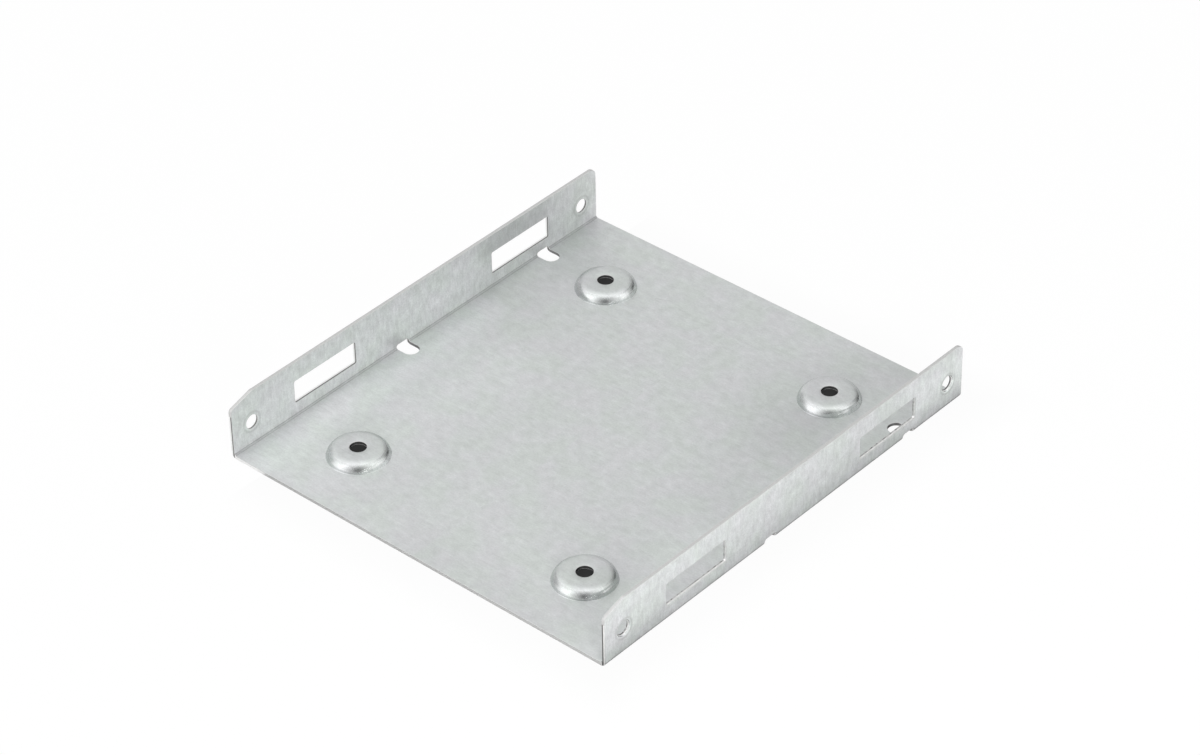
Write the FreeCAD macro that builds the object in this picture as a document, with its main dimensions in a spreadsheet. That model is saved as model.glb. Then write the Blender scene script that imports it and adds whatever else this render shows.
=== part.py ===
import FreeCAD, Part
import math
import os

import Sketcher

# Drive bay adapter bracket: one sheet of zinc-coated steel, folded into a shallow channel.
# A small drive lies on the four pressed bosses of the base, screwed on from below.
# The channel is as wide as a large drive, and is held in a large bay by the holes in its
# flanges, or from below through the slots that cross its two bends.
# Millimetres. +X is across the channel, +Y is towards the rear (connector) end, +Z is up.
# The origin is on the underside, in the middle of the width and of the length.

# name: (value, what it is)
SIZES = {
    "plateWidth": (101.6, "across the outer faces of the flanges"),
    "plateLength": (112.0, "front edge to rear edge"),
    "flangeHeight": (13.9, "underside to the top of a flange"),
    "sheetThickness": (0.8, "the sheet"),
    "bendInside": (0.5, "inside radius of the two bends"),
    "taperLength": (6.0, "a flange's front top corner, along its top"),
    "taperDrop": (1.8, "the same corner, down the front edge"),
    "taperRound": (1.0, "radius where that taper meets the edges"),
    "rearRound": (1.8, "radius of a flange's rear top corner"),
    "bossHolesAcross": (61.72, "boss holes, centre to centre along X"),
    "bossHolesAlong": (76.6, "boss holes, centre to centre along Y"),
    "rearEdgeToBoss": (18.75, "rear edge to the rear boss holes"),
    "bossHole": (3.6, "diameter of a boss hole"),
    "bossFlat": (8.9, "diameter of a boss's flat top"),
    "bossHeight": (2.0, "a boss's top above the base"),
    "bossShoulder": (2.3, "outer radius round a boss's top"),
    "bossToe": (0.1, "hollow radius where a boss meets the base"),
    "bossSlope": (78.0, "degrees between a boss's wall and the base"),
    "sideHole": (3.2, "diameter of a side hole"),
    "sideHoleHeight": (6.35, "underside to the side holes' centres"),
    "sideHolesAlong": (101.6, "side holes, centre to centre along Y"),
    "rearEdgeToSideHole": (4.9, "rear edge to the rear side holes"),
    "sideHoleEntry": (0.6, "radius of a side hole's drawn-in outer rim"),
    "slotWidth": (3.7, "width of a slot, and of its round end"),
    "slotInset": (3.175, "outer face to the centre of a slot's round end"),
    "slotTop": (1.6, "underside to the top of a slot in the flange"),
    "slotCorner": (0.6, "radius of a slot's two upper corners"),
    "sideHoleToSlot": (12.78, "rear side hole to the rear slot, along Y"),
    "slotsAlong": (44.45, "slots, centre to centre along Y"),
    "windowLength": (18.1, "a flange window, along Y"),
    "windowHeight": (5.4, "a flange window, along Z"),
    "windowSill": (3.9, "underside to a window's lower edge"),
    "windowCorner": (0.4, "radius of a window's corners"),
    "rearEdgeToWindow": (24.8, "rear edge to the middle of the rear windows"),
    "windowsAlong": (60.2, "windows, centre to centre along Y"),
}

# name: (formula, what it is), for the sizes that follow from those above
DERIVED = {
    "bendOutside": ("=bendInside + sheetThickness", "outer radius of the bends"),
    "rearEdge": ("=plateLength / 2", "Y of the rear edge"),
    "outerFace": ("=plateWidth / 2", "X of the right flange's outer face"),
    "bossX": ("=bossHolesAcross / 2", "X of the right boss holes"),
    "bossY": ("=rearEdge - rearEdgeToBoss", "Y of the rear boss holes"),
    "bossTop": ("=sheetThickness + bossHeight", "Z of a boss's flat top"),
    "bossWall": (
        "=(bossHeight - (bossShoulder + bossToe) * (1 - cos(bossSlope * 1 deg)))"
        " / sin(bossSlope * 1 deg)",
        "straight part of a boss's wall, down its slope",
    ),
    "bossFoot": (
        "=bossFlat / 2 + (bossShoulder + bossToe) * sin(bossSlope * 1 deg)"
        " + bossWall * cos(bossSlope * 1 deg)",
        "radius where a boss meets the base",
    ),
    "sideHoleY": ("=rearEdge - rearEdgeToSideHole", "Y of the rear side holes"),
    "slotX": ("=outerFace - slotInset", "X of the right slots' round ends"),
    "slotY": ("=sideHoleY - sideHoleToSlot", "Y of the rear slots"),
    "windowY": ("=rearEdge - rearEdgeToWindow", "Y of the middle of the rear windows"),
}

NODE = "adapter_bracket"
ORIGIN = (-1, 1)  # a sketch's own origin, as a geometry and a point of it
UPRIGHT = -2  # a sketch's own vertical axis
START, END, CENTRE = 1, 2, 3  # points of a line or an arc
CLEAR = 1.0  # how far a cutting outline stands out past the sheet
CLOSE = 0.01  # how near an edge has to be to the place where it is looked for


def fillSheet(doc):
    """Writes every size into the spreadsheet that the sketches and features follow."""
    sheet = doc.addObject("Spreadsheet::Sheet", "Sizes")
    rows = {**SIZES, **DERIVED}
    for row, (name, (content, note)) in enumerate(rows.items(), start=1):
        sheet.set("A%d" % row, name)
        sheet.set("B%d" % row, str(content))
        sheet.set("C%d" % row, note)
        sheet.setAlias("B%d" % row, name)
    doc.recompute()


def size(name):
    """The present value of a size."""
    value = FreeCAD.ActiveDocument.getObject("Sizes").get(name)
    return getattr(value, "Value", value)


def line(fromX, fromY, toX, toY):
    return Part.LineSegment(FreeCAD.Vector(fromX, fromY, 0), FreeCAD.Vector(toX, toY, 0))


def ring(x, y, radius):
    return Part.Circle(FreeCAD.Vector(x, y, 0), FreeCAD.Vector(0, 0, 1), radius)


def arc(x, y, radius, fromDegrees, toDegrees):
    return Part.ArcOfCircle(
        ring(x, y, radius), math.radians(fromDegrees), math.radians(toDegrees)
    )


def originItem(body, role):
    """One of the body's own origin planes or axes."""
    return [item for item in body.Origin.OriginFeatures if item.Role == role][0]


def newSketch(body, name, plane):
    sketch = body.newObject("Sketcher::SketchObject", name)
    sketch.AttachmentSupport = [(originItem(body, plane), "")]
    sketch.MapMode = "FlatFace"
    return sketch


def tie(sketch, kind, *references):
    sketch.addConstraint(Sketcher.Constraint(kind, *references))


def measure(sketch, kind, *references):
    """Adds a dimension that follows the spreadsheet; the last argument is its formula."""
    *places, formula = references
    value = sketch.evalExpression(formula)
    value = getattr(value, "Value", value)
    index = sketch.addConstraint(Sketcher.Constraint(kind, *places, value))
    sketch.setExpression("Constraints[%d]" % index, formula)


def addOutline(sketch, pieces):
    """Adds a closed outline of lines and arcs and joins each piece to the next.

    A piece is (shape, the point where the outline enters it, how it is left). An arc runs
    counter-clockwise, so an outline that goes round it the other way enters it at its END.
    It is left by a Tangent where the outline goes on smoothly, and else by a Coincident.
    The first piece's number in the sketch is returned.
    """
    first = sketch.GeometryCount
    for shape, _, _ in pieces:
        sketch.addGeometry(shape, False)
    for step, (_, entry, joint) in enumerate(pieces):
        following = (step + 1) % len(pieces)
        leave = START + END - entry
        tie(sketch, joint, first + step, leave, first + following, pieces[following][1])
    return first


def finishSketch(sketch):
    sketch.Document.recompute()
    if not sketch.FullyConstrained:
        raise RuntimeError(sketch.Name + " can still move")


def addFeature(body, kind, name, sign, **settings):
    """Adds a feature and stops unless it adds metal (sign +1) or takes some away (sign -1).

    A setting whose text starts with = is bound to the spreadsheet.
    """
    before = body.Shape.Volume if body.Tip else 0.0
    made = body.newObject("PartDesign::" + kind, name)
    for key, value in settings.items():
        if isinstance(value, str) and value.startswith("="):
            made.setExpression(key, value[1:])
        else:
            setattr(made, key, value)
    body.Tip = made
    body.Document.recompute()
    if sign * (body.Shape.Volume - before) <= 0:
        raise RuntimeError(name + " changed the metal the wrong way")
    return made


def edgesWhere(base, test):
    """The base feature with the names of its edges whose middle passes a test."""
    names = []
    for number, edge in enumerate(base.Shape.Edges, start=1):
        if test(edge, edge.CenterOfMass):
            names.append("Edge%d" % number)
    return (base, names)


def near(value, place):
    return abs(value - place) < CLOSE


def foldChannel(body):
    """The channel's section, with its two bends, drawn out over the whole length."""
    outer = size("outerFace")
    top = size("flangeHeight")
    sheet = size("sheetThickness")
    bend = size("bendOutside")
    inside = size("bendInside")
    corner = outer - bend
    sketch = newSketch(body, "ChannelSection", "XZ_Plane")
    addOutline(sketch, [
        (line(-outer, top, -outer, bend), START, "Tangent"),
        (arc(-corner, bend, bend, 180, 270), START, "Tangent"),
        (line(-corner, 0, corner, 0), START, "Tangent"),
        (arc(corner, bend, bend, 270, 360), START, "Tangent"),
        (line(outer, bend, outer, top), START, "Coincident"),
        (line(outer, top, outer - sheet, top), START, "Coincident"),
        (line(outer - sheet, top, outer - sheet, bend), START, "Tangent"),
        (arc(corner, bend, inside, 270, 360), END, "Tangent"),
        (line(corner, sheet, -corner, sheet), START, "Tangent"),
        (arc(-corner, bend, inside, 180, 270), END, "Tangent"),
        (line(-outer + sheet, bend, -outer + sheet, top), START, "Coincident"),
        (line(-outer + sheet, top, -outer, top), START, "Coincident"),
    ])
    leftOuter, leftBend, underside, rightBend, rightOuter, rightTop = range(6)
    rightInner, rightHollow, upperSide, leftHollow, leftInner, leftTop = range(6, 12)
    for upright in (leftOuter, rightOuter, rightInner, leftInner):
        tie(sketch, "Vertical", upright)
    for level in (underside, rightTop, upperSide, leftTop):
        tie(sketch, "Horizontal", level)
    tie(sketch, "Coincident", leftBend, CENTRE, leftHollow, CENTRE)
    tie(sketch, "Coincident", rightBend, CENTRE, rightHollow, CENTRE)
    tie(sketch, "Equal", leftBend, rightBend)
    tie(sketch, "Symmetric", leftOuter, START, rightOuter, END, UPRIGHT)
    measure(sketch, "DistanceX", leftOuter, START, rightOuter, END, "Sizes.plateWidth")
    measure(sketch, "DistanceY", *ORIGIN, rightOuter, END, "Sizes.flangeHeight")
    measure(sketch, "DistanceY", rightBend, START, rightOuter, END, "Sizes.flangeHeight")
    measure(sketch, "DistanceX", rightTop, END, rightTop, START, "Sizes.sheetThickness")
    measure(sketch, "Radius", rightHollow, "Sizes.bendInside")
    finishSketch(sketch)
    return addFeature(
        body, "Pad", "Channel", +1,
        Profile=sketch, SideType="Symmetric", Length="=Sizes.plateLength",
    )


def taperFlanges(body):
    """Cuts the front top corner of both flanges to a shallow taper and rounds the corners."""
    front = -size("rearEdge")
    rear = size("rearEdge")
    top = size("flangeHeight")
    length = size("taperLength")
    drop = size("taperDrop")
    sketch = newSketch(body, "TaperOutline", "YZ_Plane")
    addOutline(sketch, [
        (line(front, top - drop, front + length, top), START, "Coincident"),
        (line(front + length, top, front + length, top + CLEAR), START, "Coincident"),
        (line(front + length, top + CLEAR, front - CLEAR, top + CLEAR), START, "Coincident"),
        (line(front - CLEAR, top + CLEAR, front - CLEAR, top - drop), START, "Coincident"),
        (line(front - CLEAR, top - drop, front, top - drop), START, "Coincident"),
    ])
    taper, inner, above, ahead, below = range(5)
    for upright in (inner, ahead):
        tie(sketch, "Vertical", upright)
    for level in (above, below):
        tie(sketch, "Horizontal", level)
    measure(sketch, "DistanceX", taper, START, *ORIGIN, "Sizes.rearEdge")
    measure(sketch, "DistanceY", *ORIGIN, taper, END, "Sizes.flangeHeight")
    measure(sketch, "DistanceX", taper, START, taper, END, "Sizes.taperLength")
    measure(sketch, "DistanceY", taper, START, taper, END, "Sizes.taperDrop")
    measure(sketch, "DistanceY", inner, START, inner, END, "%g" % CLEAR)
    measure(sketch, "DistanceX", below, START, below, END, "%g" % CLEAR)
    finishSketch(sketch)
    cut = addFeature(
        body, "Pocket", "FrontTaper", -1,
        Profile=sketch, SideType="Symmetric", Type="ThroughAll",
    )

    def taperEnd(edge, middle):
        lower = near(middle.y, front) and near(middle.z, top - drop)
        upper = near(middle.y, front + length) and near(middle.z, top)
        return lower or upper

    def rearCorner(edge, middle):
        return near(middle.y, rear) and near(middle.z, top)

    rounded = addFeature(
        body, "Fillet", "TaperRounds", -1,
        Base=edgesWhere(cut, taperEnd), Radius="=Sizes.taperRound",
    )
    addFeature(
        body, "Fillet", "RearRounds", -1,
        Base=edgesWhere(rounded, rearCorner), Radius="=Sizes.rearRound",
    )


def cutWindows(body):
    """Two rounded windows through each flange."""
    right = size("windowY") + size("windowLength") / 2
    left = size("windowY") - size("windowLength") / 2
    low = size("windowSill")
    high = low + size("windowHeight")
    corner = size("windowCorner")
    sketch = newSketch(body, "WindowOutline", "YZ_Plane")
    addOutline(sketch, [
        (line(left + corner, low, right - corner, low), START, "Tangent"),
        (arc(right - corner, low + corner, corner, 270, 360), START, "Tangent"),
        (line(right, low + corner, right, high - corner), START, "Tangent"),
        (arc(right - corner, high - corner, corner, 0, 90), START, "Tangent"),
        (line(right - corner, high, left + corner, high), START, "Tangent"),
        (arc(left + corner, high - corner, corner, 90, 180), START, "Tangent"),
        (line(left, high - corner, left, low + corner), START, "Tangent"),
        (arc(left + corner, low + corner, corner, 180, 270), START, "Tangent"),
    ])
    sill, firstArc, rearSide, secondArc, head, thirdArc, frontSide, lastArc = range(8)
    for upright in (rearSide, frontSide):
        tie(sketch, "Vertical", upright)
    for level in (sill, head):
        tie(sketch, "Horizontal", level)
    for other in (secondArc, thirdArc, lastArc):
        tie(sketch, "Equal", firstArc, other)
    measure(sketch, "Radius", firstArc, "Sizes.windowCorner")
    measure(sketch, "DistanceX", *ORIGIN, rearSide, START, "Sizes.windowY + Sizes.windowLength / 2")
    measure(sketch, "DistanceX", frontSide, START, rearSide, START, "Sizes.windowLength")
    measure(sketch, "DistanceY", *ORIGIN, sill, START, "Sizes.windowSill")
    measure(sketch, "DistanceY", sill, START, head, END, "Sizes.windowHeight")
    finishSketch(sketch)
    window = addFeature(
        body, "Pocket", "RearWindows", -1,
        Profile=sketch, SideType="Symmetric", Type="ThroughAll",
    )
    addFeature(
        body, "LinearPattern", "Windows", -1,
        Originals=[window], Direction=(originItem(body, "Y_Axis"), [""]), Reversed=True,
        Length="=Sizes.windowsAlong", Occurrences=2,
    )


def drillSideHoles(body):
    """Two holes through each flange, with their outer rims drawn in."""
    rear = size("sideHoleY")
    height = size("sideHoleHeight")
    radius = size("sideHole") / 2
    outer = size("outerFace")
    sketch = newSketch(body, "SideHoleCircles", "YZ_Plane")
    rearHole, frontHole = range(2)
    for y in (rear, rear - size("sideHolesAlong")):
        sketch.addGeometry(ring(y, height, radius), False)
    tie(sketch, "Equal", rearHole, frontHole)
    tie(sketch, "Horizontal", rearHole, CENTRE, frontHole, CENTRE)
    measure(sketch, "Diameter", rearHole, "Sizes.sideHole")
    measure(sketch, "DistanceX", *ORIGIN, rearHole, CENTRE, "Sizes.sideHoleY")
    measure(sketch, "DistanceX", frontHole, CENTRE, rearHole, CENTRE, "Sizes.sideHolesAlong")
    measure(sketch, "DistanceY", *ORIGIN, rearHole, CENTRE, "Sizes.sideHoleHeight")
    finishSketch(sketch)
    holes = addFeature(
        body, "Pocket", "SideHoles", -1,
        Profile=sketch, SideType="Symmetric", Type="ThroughAll",
    )

    def outerRim(edge, middle):
        if not isinstance(edge.Curve, Part.Circle) or not near(edge.Curve.Radius, radius):
            return False
        return near(abs(middle.x), outer) and near(middle.z, height)

    addFeature(
        body, "Fillet", "SideHoleEntries", -1,
        Base=edgesWhere(holes, outerRim), Radius="=Sizes.sideHoleEntry",
    )


def cutSlots(body):
    """Two slots on each side, from a round end in the base across the bend into the flange."""
    x = size("slotX")
    half = size("slotWidth") / 2
    top = size("slotTop")
    corner = size("slotCorner")
    places = (size("slotY"), size("slotY") - size("slotsAlong"))

    circles = newSketch(body, "SlotEndCircles", "XY_Plane")
    rearEnd, frontEnd = range(2)
    for y in places:
        circles.addGeometry(ring(x, y, half), False)
    tie(circles, "Equal", rearEnd, frontEnd)
    tie(circles, "Vertical", rearEnd, CENTRE, frontEnd, CENTRE)
    measure(circles, "Diameter", rearEnd, "Sizes.slotWidth")
    measure(circles, "DistanceX", *ORIGIN, rearEnd, CENTRE, "Sizes.slotX")
    measure(circles, "DistanceY", *ORIGIN, rearEnd, CENTRE, "Sizes.slotY")
    measure(circles, "DistanceY", frontEnd, CENTRE, rearEnd, CENTRE, "Sizes.slotsAlong")
    finishSketch(circles)
    ends = addFeature(
        body, "Pocket", "SlotEnds", -1,
        Profile=circles, SideType="One side", Reversed=True, Length="=Sizes.sheetThickness",
    )

    section = newSketch(body, "SlotMouthOutlines", "YZ_Plane")
    section.setExpression("AttachmentOffset.Base.z", "Sizes.slotX")
    sills = []
    for y in places:
        sill = addOutline(section, [
            (line(y - half, -CLEAR, y + half, -CLEAR), START, "Coincident"),
            (line(y + half, -CLEAR, y + half, top - corner), START, "Tangent"),
            (arc(y + half - corner, top - corner, corner, 0, 90), START, "Tangent"),
            (line(y + half - corner, top, y - half + corner, top), START, "Tangent"),
            (arc(y - half + corner, top - corner, corner, 90, 180), START, "Tangent"),
            (line(y - half, top - corner, y - half, -CLEAR), START, "Coincident"),
        ])
        rearSide, rearCorner, head, frontCorner, frontSide = range(sill + 1, sill + 6)
        for upright in (rearSide, frontSide):
            tie(section, "Vertical", upright)
        for level in (sill, head):
            tie(section, "Horizontal", level)
        tie(section, "Equal", rearCorner, frontCorner)
        measure(section, "Radius", rearCorner, "Sizes.slotCorner")
        measure(section, "DistanceX", sill, START, sill, END, "Sizes.slotWidth")
        measure(section, "DistanceY", *ORIGIN, head, START, "Sizes.slotTop")
        measure(section, "DistanceY", sill, START, *ORIGIN, "%g" % CLEAR)
        sills.append(sill)
    rearSill, frontSill = sills
    measure(section, "DistanceX", *ORIGIN, rearSill, END, "Sizes.slotY + Sizes.slotWidth / 2")
    measure(section, "DistanceX", frontSill, END, rearSill, END, "Sizes.slotsAlong")
    finishSketch(section)
    mouths = addFeature(
        body, "Pocket", "SlotMouths", -1,
        Profile=section, SideType="One side", Reversed=True, Type="ThroughAll",
    )
    addFeature(
        body, "Mirrored", "LeftSlots", -1,
        Originals=[ends, mouths], MirrorPlane=(originItem(body, "YZ_Plane"), [""]),
    )


def pressBosses(body):
    """Four bosses, pressed up out of the base and hollow beneath, each with a screw hole."""
    x = size("bossX")
    y = size("bossY")
    hole = size("bossHole") / 2
    flat = size("bossFlat") / 2
    top = size("bossTop")
    sheet = size("sheetThickness")
    shoulder = size("bossShoulder")
    toe = size("bossToe")
    foot = size("bossFoot")
    slope = size("bossSlope")
    sine = math.sin(math.radians(slope))
    cosine = math.cos(math.radians(slope))
    shoulderZ = top - shoulder
    toeZ = sheet + toe

    footprint = newSketch(body, "BossFootprint", "XY_Plane")
    rim = footprint.addGeometry(ring(x, y, foot), False)
    measure(footprint, "Radius", rim, "Sizes.bossFoot")
    measure(footprint, "DistanceX", *ORIGIN, rim, CENTRE, "Sizes.bossX")
    measure(footprint, "DistanceY", *ORIGIN, rim, CENTRE, "Sizes.bossY")
    finishSketch(footprint)
    opened = addFeature(
        body, "Pocket", "BossOpening", -1,
        Profile=footprint, SideType="One side", Reversed=True, Length="=Sizes.sheetThickness",
    )

    def onSlope(centreX, centreZ, radius, side):
        return centreX + side * radius * sine, centreZ + side * radius * cosine

    section = newSketch(body, "BossSection", "XZ_Plane")
    section.setExpression("AttachmentOffset.Base.x", "Sizes.bossX")
    section.setExpression("AttachmentOffset.Base.z", "-Sizes.bossY")
    addOutline(section, [
        (line(hole, top, flat, top), START, "Tangent"),
        (arc(flat, shoulderZ, shoulder, 90 - slope, 90), END, "Tangent"),
        (line(*onSlope(flat, shoulderZ, shoulder, 1), *onSlope(foot, toeZ, toe, -1)), START, "Tangent"),
        (arc(foot, toeZ, toe, 270 - slope, 270), START, "Coincident"),
        (line(foot, sheet, foot, 0), START, "Coincident"),
        (arc(foot, toeZ, toe + sheet, 270 - slope, 270), END, "Tangent"),
        (
            line(
                *onSlope(foot, toeZ, toe + sheet, -1),
                *onSlope(flat, shoulderZ, shoulder - sheet, 1),
            ),
            START, "Tangent",
        ),
        (arc(flat, shoulderZ, shoulder - sheet, 90 - slope, 90), START, "Tangent"),
        (line(flat, top - sheet, hole, top - sheet), START, "Coincident"),
        (line(hole, top - sheet, hole, top), START, "Coincident"),
    ])
    topFace, outerShoulder, outerWall, outerToe, footRim = range(5)
    innerToe, innerWall, innerShoulder, ceiling, holeWall = range(5, 10)
    for level in (topFace, ceiling):
        tie(section, "Horizontal", level)
    for upright in (footRim, holeWall):
        tie(section, "Vertical", upright)
    tie(section, "Coincident", outerShoulder, CENTRE, innerShoulder, CENTRE)
    tie(section, "Coincident", outerToe, CENTRE, innerToe, CENTRE)
    tie(section, "Vertical", outerToe, CENTRE, footRim, START)
    measure(section, "DistanceX", *ORIGIN, topFace, START, "Sizes.bossHole / 2")
    measure(section, "DistanceX", *ORIGIN, topFace, END, "Sizes.bossFlat / 2")
    measure(section, "DistanceX", *ORIGIN, footRim, START, "Sizes.bossFoot")
    measure(section, "DistanceY", *ORIGIN, topFace, START, "Sizes.bossTop")
    measure(section, "DistanceY", *ORIGIN, footRim, START, "Sizes.sheetThickness")
    measure(section, "DistanceY", footRim, END, footRim, START, "Sizes.sheetThickness")
    measure(section, "DistanceY", holeWall, START, holeWall, END, "Sizes.sheetThickness")
    measure(section, "Radius", outerShoulder, "Sizes.bossShoulder")
    measure(section, "Radius", outerToe, "Sizes.bossToe")
    finishSketch(section)
    pressed = addFeature(
        body, "Revolution", "Boss", +1,
        Profile=section, ReferenceAxis=(section, ["V_Axis"]), Angle=360.0,
    )
    addFeature(
        body, "LinearPattern", "Bosses", +1,
        Originals=[opened, pressed],
        Direction=(originItem(body, "X_Axis"), [""]), Reversed=True,
        Length="=Sizes.bossHolesAcross", Occurrences=2,
        Direction2=(originItem(body, "Y_Axis"), [""]), Reversed2=True,
        Length2="=Sizes.bossHolesAlong", Occurrences2=2,
    )


def writeStep(doc, body):
    """Stops on any failed object or bad solid, and writes the body to its file."""
    for item in doc.Objects:
        if "Invalid" in item.State or "Error" in item.State:
            raise RuntimeError(item.Name + " failed")
    shape = body.Shape
    if shape.isNull() or not shape.isValid() or len(shape.Solids) != 1:
        raise RuntimeError(body.Label + " is not one valid solid")
    os.makedirs("parts", exist_ok=True)
    shape.exportStep("parts/%s.step" % body.Label)
    print("%s: %.1f mm3" % (body.Label, shape.Volume), shape.BoundBox)


def main():
    doc = FreeCAD.newDocument("AdapterBracket")
    fillSheet(doc)
    body = doc.addObject("PartDesign::Body", "Bracket")
    body.Label = NODE
    foldChannel(body)
    taperFlanges(body)
    cutWindows(body)
    drillSideHoles(body)
    cutSlots(body)
    pressBosses(body)
    writeStep(doc, body)


main()
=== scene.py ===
import math
import bmesh
import bpy
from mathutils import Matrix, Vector


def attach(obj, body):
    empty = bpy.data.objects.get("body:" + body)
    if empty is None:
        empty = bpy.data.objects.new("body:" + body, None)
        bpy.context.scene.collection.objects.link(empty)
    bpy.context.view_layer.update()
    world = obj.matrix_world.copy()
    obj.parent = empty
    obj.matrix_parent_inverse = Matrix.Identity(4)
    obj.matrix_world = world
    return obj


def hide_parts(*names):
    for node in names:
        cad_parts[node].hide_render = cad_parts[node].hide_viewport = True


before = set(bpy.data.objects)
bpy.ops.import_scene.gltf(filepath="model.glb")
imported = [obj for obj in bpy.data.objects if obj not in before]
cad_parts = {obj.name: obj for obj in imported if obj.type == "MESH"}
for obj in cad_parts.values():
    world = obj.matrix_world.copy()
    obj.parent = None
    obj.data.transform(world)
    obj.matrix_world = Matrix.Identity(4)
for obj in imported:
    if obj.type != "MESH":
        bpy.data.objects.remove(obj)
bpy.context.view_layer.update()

mm = 0.001  # the sizes below are in millimetres, Blender's are in metres
touching = 1e-6  # nearer than this, points are one, in metres
closely = 0.001  # slack of the close tests, in millimetres
mainly = 0.9  # a face looks along an axis if its normal's share of it is over this
exactly = 0.999  # and stands square to the axis if the share is over this


# working by hand: picking, editing, finishing

def backToObjects():
    if bpy.context.mode != "OBJECT":
        bpy.ops.object.mode_set(mode="OBJECT")
    bpy.ops.object.select_all(action="DESELECT")


def choose(piece):
    backToObjects()
    piece.select_set(True)
    bpy.context.view_layer.objects.active = piece


def edit(piece):
    choose(piece)
    bpy.ops.object.mode_set(mode="EDIT")
    bpy.ops.mesh.select_mode(type="VERT")


def newestPiece(name):
    piece = bpy.context.active_object
    piece.name = piece.data.name = name
    bpy.ops.object.transform_apply(location=True, rotation=True, scale=True)
    return piece


def pick(kind, test):
    # kind is VERT, EDGE or FACE, and test gets each one of the piece that is being edited
    mesh = bpy.context.active_object.data
    bpy.ops.mesh.select_mode(type=kind)
    bpy.ops.mesh.select_all(action="DESELECT")
    live = bmesh.from_edit_mesh(mesh)
    group = {"VERT": live.verts, "EDGE": live.edges, "FACE": live.faces}[kind]
    for item in group:
        if test(item):
            item.select_set(True)
    bmesh.update_edit_mesh(mesh)


def edgeTest(test):
    # an edge passes when both its ends do
    return lambda edge: all(test(end.co / mm) for end in edge.verts)


def near(value, place, slack=0.02):
    return abs(value - place) < slack


def finishWith(piece, kind, **settings):
    choose(piece)
    step = piece.modifiers.new(kind.title(), kind)
    for key, value in settings.items():
        setattr(step, key, value)
    bpy.ops.object.modifier_apply(modifier=step.name)


def copyOf(piece, offset):
    choose(piece)
    bpy.ops.object.duplicate()
    bpy.ops.transform.translate(value=offset)
    bpy.ops.object.transform_apply(location=True, rotation=False, scale=False)
    return bpy.context.active_object


def joined(pieces, name):
    choose(pieces[0])
    for piece in pieces[1:]:
        piece.select_set(True)
    bpy.ops.object.join()
    pieces[0].name = pieces[0].data.name = name
    return pieces[0]


# shader building

number = "NodeSocketFloat"
vector = "NodeSocketVector"


def addNode(tree, kind, place, **settings):
    node = tree.nodes.new(kind)
    node.location = place
    for key, value in settings.items():
        setattr(node, key, value)
    return node


def feed(tree, socket, value):
    # a number is set on the socket itself, and anything else is linked to it
    if isinstance(value, (int, float)):
        socket.default_value = value
    elif value is not None:
        tree.links.new(value, socket)


def mathNode(tree, operation, place, first, second=None):
    node = addNode(tree, "ShaderNodeMath", place, operation=operation)
    feed(tree, node.inputs[0], first)
    feed(tree, node.inputs[1], second)
    return node.outputs[0]


def vectorNode(tree, operation, place, first, second=None, scale=None):
    node = addNode(tree, "ShaderNodeVectorMath", place, operation=operation)
    feed(tree, node.inputs[0], first)
    feed(tree, node.inputs[1], second)
    if scale is not None:
        feed(tree, node.inputs["Scale"], scale)
    return node.outputs["Value" if operation in ("DOT_PRODUCT", "DISTANCE") else "Vector"]


def rangeNode(tree, place, value, start, end, low, high, kind="SMOOTHSTEP"):
    # as value goes from start to end, the result goes from low to high
    node = addNode(tree, "ShaderNodeMapRange", place, interpolation_type=kind)
    for socket, part in zip(node.inputs, (value, start, end, low, high)):
        feed(tree, socket, part)
    return node.outputs[0]


def noiseNode(tree, place, source, scale, detail, **settings):
    node = addNode(tree, "ShaderNodeTexNoise", place)
    tree.links.new(source, node.inputs["Vector"])
    feed(tree, node.inputs["Scale"], scale)
    feed(tree, node.inputs["Detail"], detail)
    for label, value in settings.items():
        node.inputs[label].default_value = value
    return node.outputs[0]


def partsOf(tree, coordinate, place):
    coords = addNode(tree, "ShaderNodeTexCoord", (place[0] - 200, place[1]))
    parts = addNode(tree, "ShaderNodeSeparateXYZ", place)
    tree.links.new(coords.outputs[coordinate], parts.inputs[0])
    return parts.outputs


def newGroup(name, inputs, outputs):
    group = bpy.data.node_groups.new(name, "ShaderNodeTree")
    for label, kind, value in inputs:
        socket = group.interface.new_socket(label, in_out="INPUT", socket_type=kind)
        if value is not None:
            socket.default_value = value
    for label, kind in outputs:
        group.interface.new_socket(label, in_out="OUTPUT", socket_type=kind)
    entry = addNode(group, "NodeGroupInput", (-1200, 0))
    leave = addNode(group, "NodeGroupOutput", (1000, 0))
    return group, entry.outputs, leave.inputs


def placeGroup(tree, group, place, **values):
    node = addNode(tree, "ShaderNodeGroup", place, node_tree=group)
    for label, value in values.items():
        node.inputs[label].default_value = value
    return node.outputs


def colourRamp(tree, place, source, stops):
    node = addNode(tree, "ShaderNodeValToRGB", place)
    ramp = node.color_ramp
    while len(ramp.elements) < len(stops):
        ramp.elements.new(0.5)
    for element, (position, colour) in zip(ramp.elements, stops):
        element.position = position
        element.color = (*colour, 1)
    tree.links.new(source, node.inputs[0])
    return node.outputs[0]


def newFinish(name):
    material = bpy.data.materials.new(name)
    material.use_nodes = True
    tree = material.node_tree
    return material, tree, tree.nodes["Principled BSDF"]


def addBump(tree, shader, height, strength, distance):
    bump = addNode(tree, "ShaderNodeBump", (-200, -300))
    bump.inputs["Strength"].default_value = strength
    bump.inputs["Distance"].default_value = distance * mm
    tree.links.new(height, bump.inputs["Height"])
    tree.links.new(bump.outputs[0], shader.inputs["Normal"])


# the sheet laid flat again: grain runs across the base and on up the flanges, as it was rolled

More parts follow.
